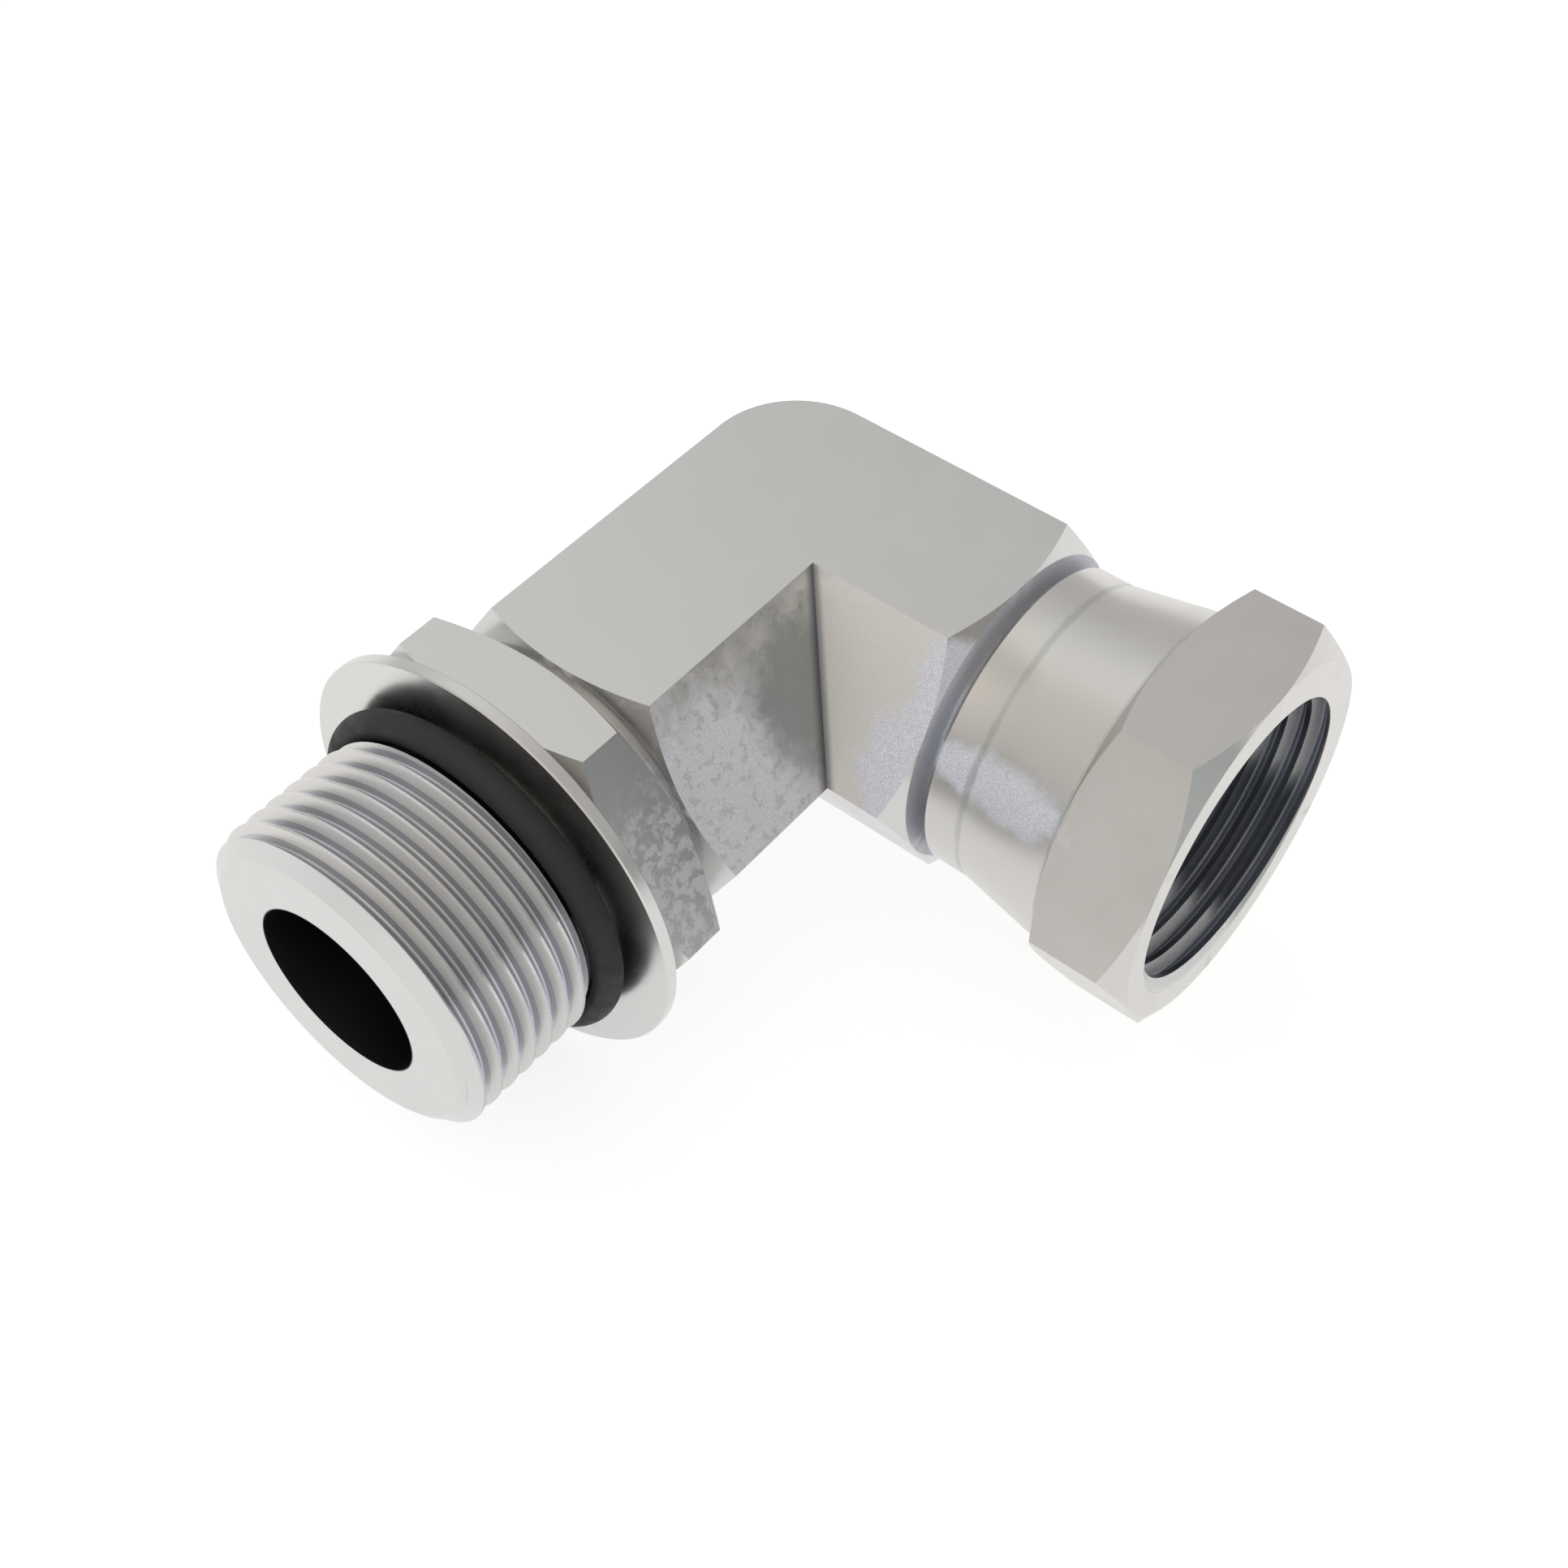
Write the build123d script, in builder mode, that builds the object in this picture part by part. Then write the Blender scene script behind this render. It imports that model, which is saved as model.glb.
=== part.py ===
from build123d import *
from math import radians, sqrt, tan
import os

# Ninety degree swivel elbow: an adjustable O-ring boss stud on one leg and a
# female pipe swivel on the other. Millimetres.
# The origin is the point where the two flow axes cross. The stud points along -Y,
# the swivel end along +X, and the elbow lies flat with +Z up.

# Body: hexagonal section, both legs measured from the crossing of the axes.
# The stud's thread has the same nominal size as the bar, 1 5/16 inch.
stud_size = 33.34
stud_leg = 34.3
swivel_leg = 26.65
flow_bore = 18.4
drill_point = 118
turned_chamfer = 30

# Stud: 12 threads to the inch behind and in front of the undercut
thread_allowance = 0.04
thread_depth = 1.45
rear_relief = 0.5
ring_to_thread = 0.9
front_thread = 14.7
end_chamfer_depth = 2

# Locknut, standing off the body by about one thread: 1 1/2 inch hexagon
locknut_wall = 2.4
locknut_gap = 2.4
locknut_thickness = 7.7
locknut_countersink = 0.5

# Backup washer, pushed against the locknut and just covering its corners
washer_lip = 0.1
washer_thickness = 1.3
washer_edge = 0.15

# O-ring, size 3-916, lying just in front of the washer
ring_section = 2.95
ring_gap = 0.6

# Swivel nut: 1 1/2 inch hexagon, 1-11 1/2 pipe thread, tapered tail crimped round the neck
pipe_thread_minor = 30.5
swivel_wall = 3.8
hex_length = 10.6
hex_ledge = 0.93
tail_gap = 1.5
tail_length = 14.62
tail_wall = 3.18
tail_collar = 4.1
tail_edge = 0.4
throat_length = 4.75
relief_depth = 1.45
relief_length = 2.6

# Neck, shoulder and conical seat of the body, inside the swivel nut
shoulder_gap = 0.55
shoulder_rise = 1.8
shoulder_length = 5.85
seat_depth = 1.7
seat_angle = 30
nose_to_thread = 0.226

# Clearances
thread_clearance = 0.05
washer_clearance = 0.08
ring_clearance = 0.03
neck_clearance = 0.1
crimp_clearance = 0.15
shoulder_clearance = 0.3

# Radii and hexagons that follow from these
thread_radius = (stud_size - thread_allowance) / 2
undercut_radius = thread_radius - thread_depth
locknut_hex = 2 * (thread_radius + locknut_wall)
washer_radius = locknut_hex / sqrt(3) + washer_lip
swivel_hex = pipe_thread_minor + 2 * swivel_wall
shoulder_radius = pipe_thread_minor / 2 - shoulder_gap
neck_radius = shoulder_radius - shoulder_rise
chamber_radius = shoulder_radius + shoulder_clearance
throat_radius = neck_radius + neck_clearance
tail_radius = throat_radius + tail_wall
seat_tip_radius = shoulder_radius - seat_depth

# Places along the stud, as distances from the crossing of the axes
locknut_back = stud_leg + locknut_gap
washer_back = locknut_back + locknut_thickness
washer_front = washer_back + washer_thickness
ring_centre = washer_front + ring_gap + ring_section / 2
undercut_start = washer_back - locknut_gap
front_thread_start = ring_centre + ring_section / 2 + ring_to_thread
stud_end = front_thread_start + front_thread
end_chamfer_length = end_chamfer_depth * tan(radians(turned_chamfer))

# Places along the swivel leg
tail_back = swivel_leg + tail_gap
hex_back = tail_back + tail_length
nut_face = hex_back + hex_length
throat_end = tail_back + throat_length
chamber_back = throat_end + chamber_radius - throat_radius
shoulder_back = chamber_back - shoulder_clearance + crimp_clearance
seat_start = shoulder_back + shoulder_length
nose_end = seat_start + seat_depth / tan(radians(seat_angle))
thread_back = nose_end + nose_to_thread
relief_back = thread_back - relief_length

# Each leg's own half-plane: first coordinate along the leg, second outward from its axis
stud_side = Plane(origin=(0, 0, 0), x_dir=(0, -1, 0), z_dir=(0, 0, 1))
swivel_side = Plane.XY
stud_axis = Axis((0, 0, 0), (0, -1, 0))
swivel_axis = Axis.X

os.makedirs("parts", exist_ok=True)


def hexagon(across):
    """Regular hexagon with a flat on top."""
    RegularPolygon(radius=across / 2, side_count=6, major_radius=False)


def corner_rise(across, reach):
    """How far the turned chamfer runs along the axis between the flats and a radius."""
    return (reach - across / 2) * tan(radians(turned_chamfer))


def half_profile(*points):
    """Closed half profile of a turned form: each point is (along the axis, outward)."""
    with BuildLine() as outline:
        Polyline(*points, close=True)
    make_face(outline.edges())


def turned_envelope(across, back, front):
    """Half profile of a hexagonal blank that is turned at both ends."""
    reach = across / sqrt(3) + 1
    rise = corner_rise(across, reach)
    half_profile(
        (back, 0),
        (back, across / 2),
        (back + rise, reach),
        (front - rise, reach),
        (front, across / 2),
        (front, 0),
    )


def turned_corner(across, face):
    """Half profile of what the lathe takes off the corners at the end of a leg."""
    reach = across / sqrt(3) + 1
    half_profile(
        (face, across / 2),
        (face + 1, across / 2),
        (face + 1, reach),
        (face - corner_rise(across, reach), reach),
    )


def drilled_bore(face):
    """Half profile of a drilled bore that runs from a leg's end past the other bore."""
    radius = flow_bore / 2
    full_depth = -radius / 2
    point = radius / tan(radians(drill_point / 2))
    half_profile(
        (face + 1, 0),
        (face + 1, radius),
        (full_depth, radius),
        (full_depth - point, 0),
    )


# Elbow body: two hexagonal legs, a swung outer corner, the stud and the nose in one piece
with BuildPart() as elbow_body:
    with BuildSketch(Plane.XZ):
        hexagon(stud_size)
    extrude(amount=stud_leg)
    with BuildSketch(Plane.YZ):
        hexagon(stud_size)
    extrude(amount=swivel_leg)
    # outside of the turn: half the hexagon swung a quarter turn about the vertical
    with BuildSketch(Plane.XZ):
        hexagon(stud_size)
        split(bisect_by=Plane.YZ, keep=Keep.BOTTOM)
    revolve(axis=Axis.Z, revolution_arc=-90)
    # the lathe rounds the corners at both leg ends
    with BuildSketch(stud_side):
        turned_corner(stud_size, stud_leg)
    revolve(axis=stud_axis, mode=Mode.SUBTRACT)
    with BuildSketch(swivel_side):
        turned_corner(stud_size, swivel_leg)
    revolve(axis=swivel_axis, mode=Mode.SUBTRACT)
    # stud: relief behind the rear thread, rear thread, undercut, front thread, chamfered end
    with BuildSketch(stud_side):
        half_profile(
            (0, 0),
            (0, undercut_radius),
            (stud_leg + rear_relief, undercut_radius),
            (stud_leg + rear_relief + thread_depth, thread_radius),
            (undercut_start - thread_depth, thread_radius),
            (undercut_start, undercut_radius),
            (front_thread_start - thread_depth, undercut_radius),
            (front_thread_start, thread_radius),
            (stud_end - end_chamfer_length, thread_radius),
            (stud_end, thread_radius - end_chamfer_depth),
            (stud_end, 0),
        )
    revolve(axis=stud_axis)
    # neck, shoulder and conical seat inside the swivel nut
    with BuildSketch(swivel_side):
        half_profile(
            (0, 0),
            (0, neck_radius),
            (shoulder_back - shoulder_rise, neck_radius),
            (shoulder_back, shoulder_radius),
            (seat_start, shoulder_radius),
            (nose_end, seat_tip_radius),
            (nose_end, 0),
        )
    revolve(axis=swivel_axis)
    # the two flow bores are drilled from the ends and break into each other at the corner
    with BuildSketch(stud_side):
        drilled_bore(stud_end)
    revolve(axis=stud_axis, mode=Mode.SUBTRACT)
    with BuildSketch(swivel_side):
        drilled_bore(nose_end)
    revolve(axis=swivel_axis, mode=Mode.SUBTRACT)

# Locknut: chamfered on both faces, its plain bore standing for the internal thread
with BuildPart() as locknut:
    with BuildSketch(Plane.XZ.offset(locknut_back)):
        hexagon(locknut_hex)
    extrude(amount=locknut_thickness)
    with BuildSketch(stud_side):
        turned_envelope(locknut_hex, locknut_back, washer_back)
    revolve(axis=stud_axis, mode=Mode.INTERSECT)
    locknut_bore = thread_radius + thread_clearance
    with BuildSketch(stud_side):
        half_profile(
            (locknut_back, 0),
            (locknut_back, locknut_bore + locknut_countersink),
            (locknut_back + locknut_countersink, locknut_bore),
            (washer_back - locknut_countersink, locknut_bore),
            (washer_back, locknut_bore + locknut_countersink),
            (washer_back, 0),
        )
    revolve(axis=stud_axis, mode=Mode.SUBTRACT)

# Backup washer: stamped flat ring, closed down onto the undercut
with BuildPart() as backup_washer:
    with BuildSketch(Plane.XZ.offset(washer_back)):
        Circle(radius=washer_radius)
        Circle(radius=undercut_radius + washer_clearance, mode=Mode.SUBTRACT)
    extrude(amount=washer_thickness)
    chamfer(backup_washer.edges().filter_by(GeomType.CIRCLE).sort_by(SortBy.RADIUS)[-2:], washer_edge)

# O-ring: round section stretched into the undercut
with BuildPart() as o_ring:
    with BuildSketch(stud_side):
        with Locations((ring_centre, undercut_radius + ring_clearance + ring_section / 2)):
            Circle(radius=ring_section / 2)
    revolve(axis=stud_axis)

# Swivel nut: hexagon, tapered tail with a crimped collar, stepped bore
with BuildPart() as swivel_nut:
    with BuildSketch(Plane.YZ.offset(hex_back)):
        hexagon(swivel_hex)
    extrude(amount=hex_length)
    with BuildSketch(swivel_side):
        turned_envelope(swivel_hex, hex_back, nut_face)
    revolve(axis=swivel_axis, mode=Mode.INTERSECT)
    with BuildSketch(swivel_side):
        half_profile(
            (tail_back, 0),
            (tail_back, tail_radius - tail_edge),
            (tail_back + tail_edge, tail_radius),
            (tail_back + tail_collar, tail_radius),
            (hex_back, swivel_hex / 2 - hex_ledge),
            (hex_back, 0),
        )
    revolve(axis=swivel_axis)
    # throat round the neck, chamber round the shoulder, thread relief, thread
    with BuildSketch(swivel_side):
        half_profile(
            (tail_back, 0),
            (tail_back, throat_radius),
            (throat_end, throat_radius),
            (chamber_back, chamber_radius),
            (relief_back, chamber_radius),
            (relief_back, pipe_thread_minor / 2 + relief_depth),
            (thread_back, pipe_thread_minor / 2 + relief_depth),
            (thread_back, pipe_thread_minor / 2),
            (nut_face, pipe_thread_minor / 2),
            (nut_face, 0),
        )
    revolve(axis=swivel_axis, mode=Mode.SUBTRACT)

elbow_body.part.label = "elbow_body"
locknut.part.label = "locknut"
backup_washer.part.label = "backup_washer"
o_ring.part.label = "o_ring"
swivel_nut.part.label = "swivel_nut"

export_step(elbow_body.part, "parts/elbow_body.step")
export_step(locknut.part, "parts/locknut.step")
export_step(backup_washer.part, "parts/backup_washer.step")
export_step(o_ring.part, "parts/o_ring.step")
export_step(swivel_nut.part, "parts/swivel_nut.step")
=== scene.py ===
import math

import bmesh
import bpy
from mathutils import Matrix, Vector


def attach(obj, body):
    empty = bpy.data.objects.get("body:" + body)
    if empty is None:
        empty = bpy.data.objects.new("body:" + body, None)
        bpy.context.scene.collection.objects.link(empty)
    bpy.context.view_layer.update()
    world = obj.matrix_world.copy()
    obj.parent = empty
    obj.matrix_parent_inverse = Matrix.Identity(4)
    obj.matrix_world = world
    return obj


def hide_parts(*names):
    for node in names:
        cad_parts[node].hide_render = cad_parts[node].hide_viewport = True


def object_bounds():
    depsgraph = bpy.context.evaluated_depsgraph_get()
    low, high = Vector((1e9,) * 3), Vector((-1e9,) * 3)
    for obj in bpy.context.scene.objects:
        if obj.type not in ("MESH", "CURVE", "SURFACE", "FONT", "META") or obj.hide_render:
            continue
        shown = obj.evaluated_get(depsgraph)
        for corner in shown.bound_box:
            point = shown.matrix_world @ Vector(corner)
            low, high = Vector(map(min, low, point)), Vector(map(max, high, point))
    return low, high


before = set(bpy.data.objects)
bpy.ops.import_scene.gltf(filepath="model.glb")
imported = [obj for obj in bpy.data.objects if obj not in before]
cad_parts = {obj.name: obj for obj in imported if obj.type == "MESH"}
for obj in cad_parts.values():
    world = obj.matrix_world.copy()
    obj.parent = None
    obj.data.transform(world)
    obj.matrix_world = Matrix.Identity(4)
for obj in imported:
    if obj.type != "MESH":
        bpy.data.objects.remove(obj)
cad_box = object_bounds()
MM = 0.001

# Camera: place, aim and lens worked out from the corners of the photographed object.
CAMERA_PLACE = (0.10010, -0.12578, 0.15993)
CAMERA_AIM = (0.01570, -0.02143, 0.0)
SENSOR_WIDTH_MM = 36.0
LENS_MM = 50.26
NEAR_CLIP = 0.01

# The legs by their outward directions. Places along a leg are in mm from the crossing of the
# two flow axes.
STUD_LEG = (0, -1, 0)
SWIVEL_LEG = (1, 0, 0)

# Threads, in mm. The groove's mouth and root are shares of the pitch.
STUD_THREAD = {"pitch": 25.4 / 12, "crest": 16.65, "depth": 1.30, "mouth": 7 / 8, "root": 1 / 4}
STUD_SPANS = ((35.45, 42.2), (48.2, 66.6))
SWIVEL_THREAD = {"pitch": 25.4 / 11.5, "crest": 15.25, "depth": 1.22, "mouth": 3 / 4, "root": 1 / 8}
SWIVEL_SPAN = (41.6, 55.6)
FLANK_SLOPE = math.tan(math.radians(30))
THREAD_STEPS = 144

# The cutter's flanks go on past the crest at their slope, then it stands clear of the crest.
PAST_CREST = 0.12
CLEAR_OF_CREST = 0.5

# The groove's rounded root: where the round leaves the flank, in half widths of the root, and
# a point half way round, in half widths of the root and as a share of the depth.
ROUND_START = 1.35
ROUND_HALF_WAY = 0.62
ROUND_HALF_DEPTH = 0.965

# Corners closer than this are one corner. Edges sharper than this angle stay sharp, and faces
# wider than this area, in square mm, are plane faces.
SAME_CORNER = 0.0005
SHARP_DEGREES = 25
WIDE_FACE = 40

FLOOR_SIZE = 6.0
FLOOR_WHITE = 0.80
FLOOR_PAPER = 0.36

# Studio light: the room's level, its change with height, and soft lights and shades as
# (turn from -Y towards +X in degrees, rise in degrees, sharpness, colour added).
ROOM_LEVEL = (0.660, 0.650, 0.638)
ROOM_RISE = (-0.246, -0.241, -0.237)
SOFT_LIGHTS = (
    (111.0, 2.0, 32.0, (-0.50, -0.48, -0.46)),
    (-57.5, 65.4, 33.0, (-0.45, -0.42, -0.40)),
    (5.2, 65.8, 4.6, (0.700, 0.630, 0.530)),
    (-110.0, 53.0, 7.5, (0.404, 0.418, 0.424)),
    (-38.0, 6.0, 150.0, (0.25, 0.32, 0.48)),
)

# Satin zinc plate of each piece.
PLATE = (0.66, 0.655, 0.65)
NUT_PLATE = (0.64, 0.627, 0.605)
WASHER_PLATE = (0.68, 0.675, 0.665)
PLATE_LIGHTER = 1.03
PLATE_DARKER = 0.95
PLATE_ROUGHNESS = (0.24, 0.31)

# Sizes of the plate's unevenness, in mm: clouds over a face, ragged edges of marks, patches in
# a mark, and the grain that sparkles in the painted highlights.
CLOUDS = 6.0
RAGGED_EDGE = 2.6
MOTTLE = 1.1
GRAIN = 0.13
CLOUD_RANGE = (0.3, 0.7)
GRAIN_RANGE = (0.38, 0.66)
GRAIN_HEIGHT = 0.01
GRAIN_RELIEF = 0.4

# How the edge of a mark round a point fades, in shares of its radius, and how ragged it is.
SPOT_FADE = (0.55, 1.05)
SPOT_RAGGEDNESS = 0.9

# Fades in mm: at the radius of a round stretch, before its start and after it, up to its end,
# and at the bottom of the mitre valley.
RADIUS_FADE = 0.04
START_FADE = 1
END_FADE = 0.1
VALLEY_FLOOR = 0.1

# Faces by the way they look, with the cosines between which a mark on such a face fades in.
SIDE = math.sin(math.radians(60))
STUD_INSIDE = (SIDE, 0.0, 0.5)
SWIVEL_INSIDE = (0.0, -SIDE, 0.5)
TOWARDS_CROSSING = (0, 1, 0)
CHAMFER_CORNER = (0.866, -0.335, 0.372)
MITRE_NORMAL = (math.sqrt(0.5), math.sqrt(0.5), 0.0)
FACE_SPREAD = (0.90, 0.97)

# Round stretches of a leg: direction, everything inside a radius, start and end.
STUD_THREADED = (STUD_LEG, 40, 49, 63.5)
STUD_ROOTS = (STUD_LEG, 15.85, 49, 63.5)
STUD_BORE = (STUD_LEG, 9.3, -13, 70)
SWIVEL_BORE = (SWIVEL_LEG, 9.3, -13, 60)
NUT_MOUTH = (SWIVEL_LEG, 17.0, 40, 53.2)
NUT_THREADED = (SWIVEL_LEG, 17.0, 44.5, 53.2)

# What a mark looks like: painted light and highlights, pale, warm or bluish, and dark painted shade
# on faces inside the turn, on the threads, in the mitre valley, in the nut's mouth and in the
# bores.
# Painted light: a pale bluish grey with sparkle that lightens faces inside the turn.
BLUISH_LIGHT = {"colour": (0.83, 0.85, 0.92), "metal": 0.25, "rough": 0.50, "sparkle": 0.12}
# Painted highlights: blue-white glints.
BLUE_GLINT = {"colour": (0.84, 0.88, 1.00), "metal": 0.10, "rough": 0.50, "sparkle": 0.16}
# Painted light: a warm pale grey.
WARM_LIGHT = {"colour": (0.90, 0.88, 0.86), "metal": 0.25, "rough": 0.42, "sparkle": 0.04}
# Painted highlight on the stud thread's front flanks.
FRONT_FLANK_LIGHT = {"colour": (0.90, 0.885, 0.86), "metal": 0.30, "rough": 0.36}
# Painted highlight: a light sheen with sparkle.
FLANK_SHEEN = {"colour": (0.96, 0.98, 1.00), "metal": 0.15, "rough": 0.32, "sparkle": 0.14}
# Painted shade: a dark bluish grey.
THREAD_SHADE = {"colour": (0.36, 0.38, 0.42), "metal": 1.0, "rough": 0.26}
# Painted shade: a dark grey.
DARK_SHADE = {"colour": (0.33, 0.35, 0.345), "metal": 1.0, "rough": 0.30}
# Painted shade: near black.
VALLEY_SHADE = {"colour": (0.12, 0.13, 0.16), "metal": 1.0, "rough": 0.35}
# Painted shade: black.
HOLE_SHADE = {"colour": (0.05, 0.05, 0.06), "metal": 1.0, "rough": 0.45}
# Painted shade: a dark bluish grey.
MOUTH_SHADE = {"colour": (0.25, 0.27, 0.32), "metal": 1.0, "rough": 0.28}

# Where each mark lies: on a face, round a point (centre and radii in mm), in a round stretch of
# a leg, within a width of the mitre valley in mm, or in patches; and how much of it shows.
BODY_MARKS = (
    # Painted light on the swivel leg's face inside the turn.
    {**WARM_LIGHT, "face": SWIVEL_INSIDE, "centre": (25, -17, 8), "radii": (28, 22, 28), "amount": 0.90},
    # Painted highlight low on that face.
    {**BLUE_GLINT, "face": SWIVEL_INSIDE, "centre": (27, -16, 5), "radii": (7, 9, 9), "amount": 0.95},
    # Painted light on the stud leg's face inside the turn.
    {**BLUISH_LIGHT, "face": STUD_INSIDE, "centre": (17, -32, 6), "radii": (15, 16, 14), "amount": 0.80},
    # Painted shade on that face near the crossing, and mottled patches of it over the face.
    {**DARK_SHADE, "face": STUD_INSIDE, "centre": (17, -16, 9), "radii": (13, 9, 10), "amount": 0.88},
    {**DARK_SHADE, "face": STUD_INSIDE, "centre": (17, -26, 8), "radii": (24, 24, 24),
     "patches": (0.53, 0.62), "amount": 0.30},
    # Painted shade along the mitre valley.
    {**VALLEY_SHADE, "face": STUD_INSIDE, "valley": 1.1, "amount": 0.75},
    {**VALLEY_SHADE, "face": SWIVEL_INSIDE, "valley": 0.8, "amount": 0.50},
    # Painted highlights on the body's end face towards the nut and at the neck.
    {**BLUE_GLINT, "face": SWIVEL_LEG, "amount": 0.75},
    {**BLUE_GLINT, "centre": (27.5, -11.5, 13.5), "radii": (5, 5.5, 5.5), "amount": 0.85},
    # Painted highlight on the stud thread's front flanks.
    {**FRONT_FLANK_LIGHT, "face": STUD_LEG, "spread": (0.55, 0.80), "stretch": STUD_THREADED, "amount": 0.60},
    # Painted shade on the stud thread's rear flanks and roots.
    {**THREAD_SHADE, "face": TOWARDS_CROSSING, "spread": (0.3, 0.5), "stretch": STUD_THREADED,
     "amount": 0.80},
    {**THREAD_SHADE, "stretch": STUD_ROOTS, "amount": 0.60},
    # Painted shade in both bores.
    {**HOLE_SHADE, "stretch": STUD_BORE, "amount": 1.0},
    {**HOLE_SHADE, "stretch": SWIVEL_BORE, "amount": 1.0},
)
LOCKNUT_MARKS = (
    # Painted shade on the locknut's faces inside the turn.
    {**DARK_SHADE, "face": STUD_INSIDE, "amount": 0.76},
    # Patches of painted light on those faces.
    {**BLUISH_LIGHT, "face": STUD_INSIDE, "centre": (20, -40, 2), "radii": (15, 15, 15),
     "patches": (0.43, 0.55), "amount": 0.46},
)
SWIVEL_MARKS = (
    # Painted highlight along the nut's tail.
    {**BLUE_GLINT, "centre": (35, -15.2, 7.9), "radii": (11, 3.4, 3.4), "amount": 0.90},
    # Painted shade in the creases where the tail's cylinder meets the cone and the cone meets the
    # hexagon.
    {**DARK_SHADE, "centre": (32.3, 0, 0), "radii": (0.6, 30, 30), "amount": 0.40},
    {**DARK_SHADE, "centre": (42.6, 0, 0), "radii": (0.6, 34, 34), "amount": 0.40},
    # Painted shade in the nut's mouth.
    {**MOUTH_SHADE, "stretch": NUT_MOUTH, "amount": 1.0},
    # Painted highlight on the flanks of the nut's thread.
    {**FLANK_SHEEN, "face": SWIVEL_LEG, "spread": (0.4, 0.75), "stretch": NUT_THREADED, "amount": 0.85},
    # Painted shade at the chamfer's corner by the nut's mouth.
    {**DARK_SHADE, "face": CHAMFER_CORNER, "spread": (0.955, 0.985), "amount": 0.90},
)

# Black rubber of the O-ring.
RUBBER_DARKER = (0.028, 0.028, 0.029, 1)
RUBBER_LIGHTER = (0.040, 0.040, 0.040, 1)
RUBBER_CLOUDS = 2.0
RUBBER_ROUGHNESS = (0.55, 0.70)
RUBBER_SHINE = 0.3


def leg_frame(axis):
    """Two cross directions and the outward direction of a leg, right handed."""
    up = Vector((0, 0, 1))
    outward = Vector(axis).normalized()
    return up, outward.cross(up), outward


def groove_section(thread, inward):
    """Section of a thread groove: pairs of place along the leg and radius, in mm.

    The groove is cut inward from the stud's surface, or outward from the nut's bore."""
    side = -1 if inward else 1
    crest = thread["crest"]
    depth = thread["depth"]
    mouth = thread["mouth"] * thread["pitch"] / 2
    root = thread["root"] * thread["pitch"] / 2
    flare = mouth + PAST_CREST * FLANK_SLOPE
    first_half = [
        (-flare, crest - side * CLEAR_OF_CREST),
        (-flare, crest - side * PAST_CREST),
        (-root * ROUND_START, crest + side * (mouth - root * ROUND_START) / FLANK_SLOPE),
        (-root * ROUND_HALF_WAY, crest + side * depth * ROUND_HALF_DEPTH),
        (0.0, crest + side * depth),
    ]
    second_half = [(-place, radius) for place, radius in reversed(first_half[:-1])]
    return first_half + second_half


def helix_cutter(name, axis, pitch, span, section, start_angle):
    """Closed solid swept along the groove of a right hand thread."""
    first, second, outward = leg_frame(axis)
    mesh = bmesh.new()
    turns = (span[1] - span[0]) / pitch
    rings = []
    for step in range(int(turns * THREAD_STEPS) + 1):
        angle = start_angle + 2 * math.pi * step / THREAD_STEPS
        along = span[0] + pitch * step / THREAD_STEPS
        radial = first * math.cos(angle) + second * math.sin(angle)
        corners = [radial * radius + outward * (along + place) for place, radius in section]
        rings.append([mesh.verts.new(corner * MM) for corner in corners])
    count = len(section)
    for here, there in zip(rings, rings[1:]):
        for i in range(count):
            j = (i + 1) % count
            mesh.faces.new((here[i], here[j], there[j], there[i]))
    mesh.faces.new(rings[0])
    mesh.faces.new(tuple(reversed(rings[-1])))
    bmesh.ops.recalc_face_normals(mesh, faces=mesh.faces)
    data = bpy.data.meshes.new(name)
    mesh.to_mesh(data)
    mesh.free()
    cutter = bpy.data.objects.new(name, data)
    bpy.context.scene.collection.objects.link(cutter)
    return cutter


def welded_copy(node, name):
    """A copy of a CAD node whose split corners are joined, so that it can be cut."""
    copy = bpy.data.objects.new(name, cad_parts[node].data.copy())
    bpy.context.scene.collection.objects.link(copy)
    mesh = bmesh.new()
    mesh.from_mesh(copy.data)
    bmesh.ops.remove_doubles(mesh, verts=mesh.verts, dist=SAME_CORNER * MM)
    mesh.to_mesh(copy.data)
    mesh.free()
    if "custom_normal" in copy.data.attributes:
        copy.data.attributes.remove(copy.data.attributes["custom_normal"])
    return copy


def cut_with(piece, cutters):
    """Takes the cutters out of the piece and deletes them."""
    for cutter in cutters:
        change = piece.modifiers.new(cutter.name, "BOOLEAN")
        change.operation = "DIFFERENCE"
        change.solver = "MANIFOLD"
        change.object = cutter
    graph = bpy.context.evaluated_depsgraph_get()
    result = bpy.data.meshes.new_from_object(piece.evaluated_get(graph))
    piece.modifiers.clear()
    piece.data = result
    for cutter in cutters:
        bpy.data.objects.remove(cutter)


def threaded_elbow():
    """The elbow body with its rear and front stud threads, which are one helix."""
    piece = welded_copy("elbow_body", "threaded_elbow_body")
    section = groove_section(STUD_THREAD, inward=True)
    pitch = STUD_THREAD["pitch"]
    cutters = []
    for number, span in enumerate(STUD_SPANS):
        name = f"stud_groove_{number}"
        angle = 2 * math.pi * (span[0] - STUD_SPANS[0][0]) / pitch
        cutters.append(helix_cutter(name, STUD_LEG, pitch, span, section, angle))
    cut_with(piece, cutters)
    return piece


def threaded_swivel():
    """The swivel nut with the thread in its mouth."""
    piece = welded_copy("swivel_nut", "threaded_swivel_nut")
    section = groove_section(SWIVEL_THREAD, inward=False)
    pitch = SWIVEL_THREAD["pitch"]
    cutter = helix_cutter("swivel_groove", SWIVEL_LEG, pitch, SWIVEL_SPAN, section, 0.0)
    cut_with(piece, [cutter])
    return piece


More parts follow.
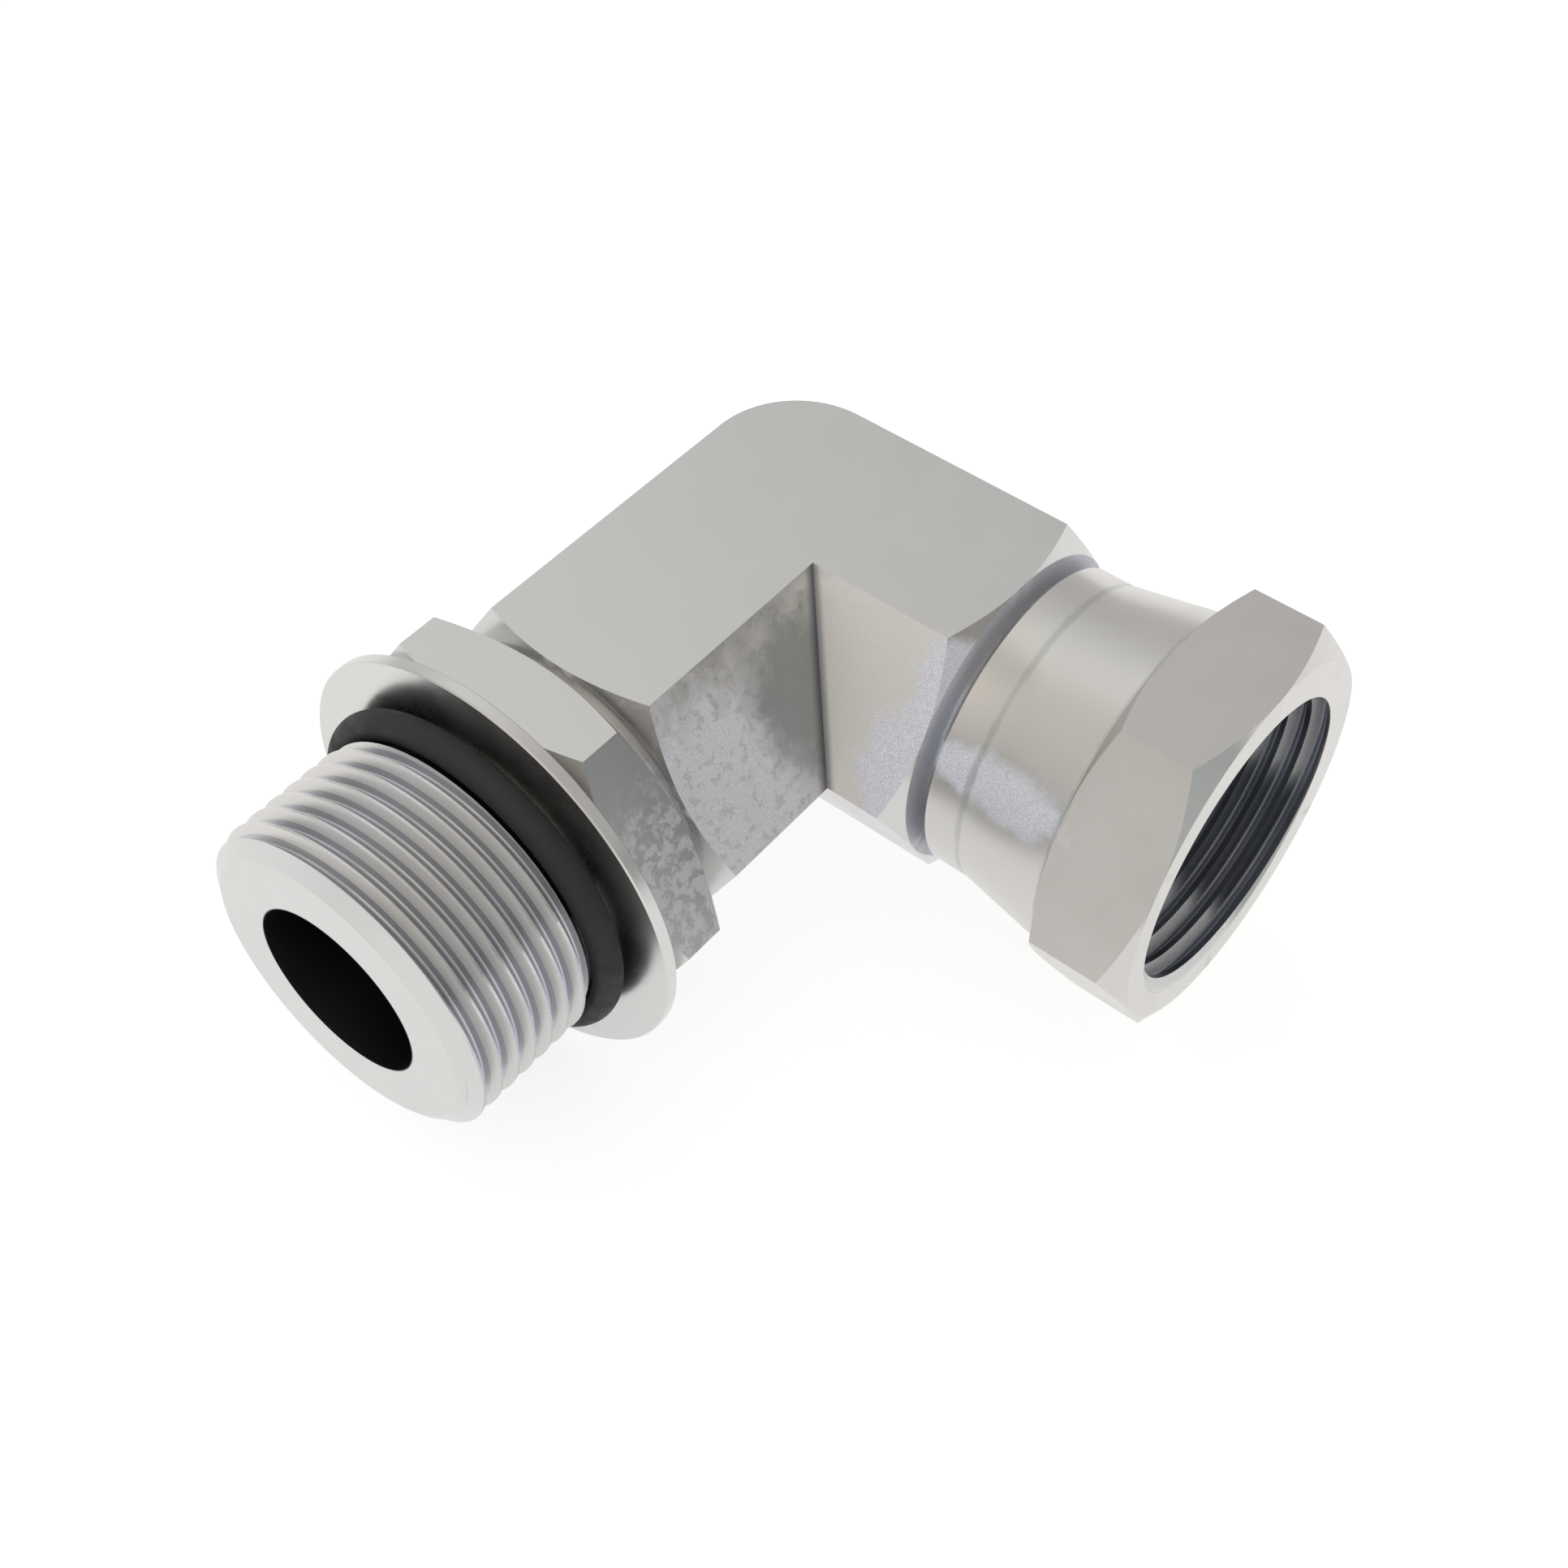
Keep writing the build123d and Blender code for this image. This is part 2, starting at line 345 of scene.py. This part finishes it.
def smooth_turned_forms(piece):
    """Smooth round the turned forms, flat on the wide plane faces."""
    piece.data.shade_smooth()
    piece.data.set_sharp_from_angle(angle=math.radians(SHARP_DEGREES))
    for face in piece.data.polygons:
        if face.area > WIDE_FACE * MM * MM:
            face.use_smooth = False


class Nodes:
    """A short hand for wiring a node tree."""

    def __init__(self, tree):
        self.tree = tree

    def add(self, kind, **settings):
        node = self.tree.nodes.new(kind)
        for key, value in settings.items():
            setattr(node, key, value)
        return node

    def wire(self, value, socket):
        """Joins a socket's value to another socket, or sets a plain value on it."""
        if isinstance(value, bpy.types.NodeSocket):
            self.tree.links.new(value, socket)
        else:
            socket.default_value = value

    def math(self, operation, first, second=0.0):
        node = self.add("ShaderNodeMath", operation=operation)
        self.wire(first, node.inputs[0])
        self.wire(second, node.inputs[1])
        return node.outputs[0]

    def vector(self, operation, first, second):
        node = self.add("ShaderNodeVectorMath", operation=operation)
        self.wire(first, node.inputs[0])
        self.wire(second, node.inputs[1])
        return node.outputs["Vector"]

    def dot(self, first, second):
        node = self.add("ShaderNodeVectorMath", operation="DOT_PRODUCT")
        self.wire(first, node.inputs[0])
        self.wire(second, node.inputs[1])
        return node.outputs["Value"]

    def length(self, vector):
        node = self.add("ShaderNodeVectorMath", operation="LENGTH")
        self.wire(vector, node.inputs[0])
        return node.outputs["Value"]

    def scaled(self, vector, amount):
        node = self.add("ShaderNodeVectorMath", operation="SCALE")
        self.wire(vector, node.inputs[0])
        self.wire(amount, node.inputs["Scale"])
        return node.outputs["Vector"]

    def noise(self, place, size_mm, detail, roughness=0.5, distortion=0.0):
        noise = self.add("ShaderNodeTexNoise")
        self.wire(place, noise.inputs["Vector"])
        noise.inputs["Scale"].default_value = 1 / (size_mm * MM)
        noise.inputs["Detail"].default_value = detail
        noise.inputs["Roughness"].default_value = roughness
        noise.inputs["Distortion"].default_value = distortion
        return noise.outputs["Fac"]

    def ramp(self, value, low, high, to_low=0.0, to_high=1.0):
        """A soft step from one level to another, where the value goes from low to high."""
        node = self.add("ShaderNodeMapRange", interpolation_type="SMOOTHSTEP")
        self.wire(value, node.inputs["Value"])
        node.inputs["From Min"].default_value = low
        node.inputs["From Max"].default_value = high
        node.inputs["To Min"].default_value = to_low
        node.inputs["To Max"].default_value = to_high
        return node.outputs["Result"]

    def mix(self, amount, first, second):
        """The first number where the amount is 0, the second where it is 1."""
        node = self.add("ShaderNodeMix", data_type="FLOAT")
        self.wire(amount, node.inputs["Factor"])
        self.wire(first, node.inputs[2])
        self.wire(second, node.inputs[3])
        return node.outputs[0]

    def blend(self, amount, first, second):
        """The first colour where the amount is 0, the second where it is 1."""
        node = self.add("ShaderNodeMix", data_type="RGBA")
        self.wire(amount, node.inputs["Factor"])
        self.wire(first, node.inputs[6])
        self.wire(second, node.inputs[7])
        return node.outputs[2]


def new_material(name):
    material = bpy.data.materials.new(name)
    material.use_nodes = True
    return material, Nodes(material.node_tree), material.node_tree.nodes["Principled BSDF"]


def spot(nodes, place, centre, radii, ragged):
    """1 inside a soft edged egg round a point, both in mm, and 0 outside it."""
    offset = nodes.vector("SUBTRACT", place, [part * MM for part in centre])
    shares = nodes.vector("MULTIPLY", offset, [1 / (radius * MM) for radius in radii])
    uneven = nodes.math("MULTIPLY", nodes.math("SUBTRACT", ragged, 0.5), SPOT_RAGGEDNESS)
    reach = nodes.math("ADD", nodes.length(shares), uneven)
    return nodes.ramp(reach, *SPOT_FADE, 1.0, 0.0)


def round_stretch(nodes, place, outward, radius, start, end):
    """1 inside a radius round a leg's axis, from a start to an end in mm, and 0 outside it."""
    across = nodes.vector("MULTIPLY", place, [1 - abs(part) for part in outward])
    inner = (radius - RADIUS_FADE) * MM
    outer = (radius + RADIUS_FADE) * MM
    within = nodes.ramp(nodes.length(across), inner, outer, 1.0, 0.0)
    along = nodes.dot(place, outward)
    past_start = nodes.ramp(along, (start - START_FADE) * MM, (start + START_FADE) * MM)
    before_end = nodes.ramp(along, (end - END_FADE) * MM, end * MM, 1.0, 0.0)
    return nodes.math("MULTIPLY", within, nodes.math("MULTIPLY", past_start, before_end))


def mitre_valley(nodes, place, width):
    """1 in the mitre valley, where the two legs meet, fading to 0 over a width in mm."""
    away = nodes.math("ABSOLUTE", nodes.dot(place, MITRE_NORMAL))
    return nodes.ramp(away, VALLEY_FLOOR * MM, width * MM, 1.0, 0.0)


def mark_mask(nodes, mark, place, normal, ragged, mottle):
    """How much of a mark shows at each place of the surface."""
    mask = mark["amount"]
    if "face" in mark:
        facing = nodes.ramp(nodes.dot(normal, mark["face"]), *mark.get("spread", FACE_SPREAD))
        mask = nodes.math("MULTIPLY", facing, mask)
    if "centre" in mark:
        near = spot(nodes, place, mark["centre"], mark["radii"], ragged)
        mask = nodes.math("MULTIPLY", near, mask)
    if "stretch" in mark:
        mask = nodes.math("MULTIPLY", round_stretch(nodes, place, *mark["stretch"]), mask)
    if "valley" in mark:
        mask = nodes.math("MULTIPLY", mitre_valley(nodes, place, mark["valley"]), mask)
    if "patches" in mark:
        mask = nodes.math("MULTIPLY", nodes.ramp(mottle, *mark["patches"]), mask)
    return mask


def zinc_plate(name, colour, marks=()):
    """Satin zinc plate with faint clouds, and with marks of painted light and painted shade."""
    material, nodes, shader = new_material(name)
    place = nodes.add("ShaderNodeTexCoord").outputs["Object"]
    normal = nodes.add("ShaderNodeTexCoord").outputs["Normal"]
    clouds = nodes.noise(place, CLOUDS, detail=3.0)
    ragged = nodes.noise(place, RAGGED_EDGE, detail=5.0, roughness=0.62, distortion=0.4)
    mottle = nodes.noise(place, MOTTLE, detail=5.0, roughness=0.65, distortion=0.3)
    grain = nodes.noise(place, GRAIN, detail=1.0)
    lighter = (*[min(1.0, part * PLATE_LIGHTER) for part in colour], 1)
    darker = (*[part * PLATE_DARKER for part in colour], 1)
    tint = nodes.blend(clouds, darker, lighter)
    roughness = nodes.ramp(clouds, *CLOUD_RANGE, *PLATE_ROUGHNESS)
    metal = 1.0
    relief = 0.0
    for mark in marks:
        mask = mark_mask(nodes, mark, place, normal, ragged, mottle)
        tint = nodes.blend(mask, tint, (*mark["colour"], 1))
        roughness = nodes.mix(mask, roughness, mark["rough"])
        metal = nodes.mix(mask, metal, mark["metal"])
        if "sparkle" in mark:
            dim, bright = 1 - mark["sparkle"], 1 + mark["sparkle"]
            sparkle = nodes.ramp(grain, *GRAIN_RANGE, dim, bright)
            tint = nodes.scaled(tint, nodes.mix(mask, 1.0, sparkle))
            relief = nodes.mix(mask, relief, GRAIN_RELIEF)
    nodes.wire(tint, shader.inputs["Base Color"])
    nodes.wire(roughness, shader.inputs["Roughness"])
    nodes.wire(metal, shader.inputs["Metallic"])
    bump = nodes.add("ShaderNodeBump")
    nodes.wire(relief, bump.inputs["Strength"])
    bump.inputs["Distance"].default_value = GRAIN_HEIGHT * MM
    nodes.wire(grain, bump.inputs["Height"])
    nodes.wire(bump.outputs["Normal"], shader.inputs["Normal"])
    return material


def rubber():
    """Black rubber, a little cloudy."""
    material, nodes, shader = new_material("black_rubber")
    place = nodes.add("ShaderNodeTexCoord").outputs["Object"]
    clouds = nodes.noise(place, RUBBER_CLOUDS, detail=3.0)
    nodes.wire(nodes.blend(clouds, RUBBER_DARKER, RUBBER_LIGHTER), shader.inputs["Base Color"])
    roughness = nodes.ramp(clouds, *CLOUD_RANGE, *RUBBER_ROUGHNESS)
    nodes.wire(roughness, shader.inputs["Roughness"])
    shader.inputs["Specular IOR Level"].default_value = RUBBER_SHINE
    return material


def add_camera():
    data = bpy.data.cameras.new("camera")
    camera = bpy.data.objects.new("camera", data)
    bpy.context.scene.collection.objects.link(camera)
    camera.location = CAMERA_PLACE
    look = Vector(CAMERA_AIM) - Vector(CAMERA_PLACE)
    camera.rotation_euler = look.to_track_quat("-Z", "Y").to_euler()
    data.sensor_width = SENSOR_WIDTH_MM
    data.lens = LENS_MM
    data.clip_start = NEAR_CLIP
    bpy.context.scene.camera = camera


def add_floor():
    """Paper under the object that takes its shadow, and is white to the eye and in metal."""
    low = cad_box[0][2]
    bpy.ops.mesh.primitive_plane_add(size=FLOOR_SIZE, location=(0, 0, low))
    floor = bpy.context.object
    floor.name = "floor"
    material = bpy.data.materials.new("floor_paper")
    material.use_nodes = True
    nodes = Nodes(material.node_tree)
    material.node_tree.nodes.remove(material.node_tree.nodes["Principled BSDF"])
    paper = nodes.add("ShaderNodeBsdfDiffuse")
    paper.inputs["Color"].default_value = (FLOOR_PAPER, FLOOR_PAPER, FLOOR_PAPER, 1)
    path = nodes.add("ShaderNodeLightPath")
    seen = nodes.math("MAXIMUM", path.outputs["Is Camera Ray"], path.outputs["Is Glossy Ray"])
    seen = nodes.math("MAXIMUM", seen, path.outputs["Is Transmission Ray"])
    glow = nodes.add("ShaderNodeEmission")
    nodes.wire(nodes.math("MULTIPLY", seen, FLOOR_WHITE), glow.inputs["Strength"])
    both = nodes.add("ShaderNodeAddShader")
    nodes.wire(paper.outputs[0], both.inputs[0])
    nodes.wire(glow.outputs[0], both.inputs[1])
    nodes.wire(both.outputs[0], material.node_tree.nodes["Material Output"].inputs["Surface"])
    floor.data.materials.append(material)


def direction(turn, rise):
    """Unit vector at a turn in degrees from -Y towards +X and a rise above the floor."""
    turn, rise = math.radians(turn), math.radians(rise)
    return (math.cos(rise) * math.sin(turn), -math.cos(rise) * math.cos(turn), math.sin(rise))


def add_world():
    """A soft studio: a room that dims with height, and a few wide soft lights and shades."""
    world = bpy.data.worlds.new("studio")
    bpy.context.scene.world = world
    world.use_nodes = True
    nodes = Nodes(world.node_tree)
    look = nodes.add("ShaderNodeTexCoord").outputs["Generated"]
    rise = nodes.dot(look, (0, 0, 1))
    total = nodes.vector("ADD", ROOM_LEVEL, nodes.scaled(ROOM_RISE, rise))
    for turn, height, sharpness, colour in SOFT_LIGHTS:
        near = nodes.math("SUBTRACT", nodes.dot(look, direction(turn, height)), 1.0)
        amount = nodes.math("EXPONENT", nodes.math("MULTIPLY", near, sharpness))
        total = nodes.vector("ADD", total, nodes.scaled(colour, amount))
    nodes.wire(total, world.node_tree.nodes["Background"].inputs["Color"])


elbow = threaded_elbow()
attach(elbow, "elbow")
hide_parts("elbow_body")
swivel = threaded_swivel()
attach(swivel, "swivel")
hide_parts("swivel_nut")
for piece in (elbow, swivel):
    smooth_turned_forms(piece)

finishes = {
    elbow: zinc_plate("body_zinc", PLATE, BODY_MARKS),
    swivel: zinc_plate("swivel_zinc", NUT_PLATE, SWIVEL_MARKS),
    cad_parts["locknut"]: zinc_plate("locknut_zinc", PLATE, LOCKNUT_MARKS),
    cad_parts["backup_washer"]: zinc_plate("washer_zinc", WASHER_PLATE),
    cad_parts["o_ring"]: rubber(),
}
for piece, finish in finishes.items():
    piece.data.materials.clear()
    piece.data.materials.append(finish)

add_camera()
add_floor()
add_world()
bpy.context.scene.view_settings.view_transform = "Standard"
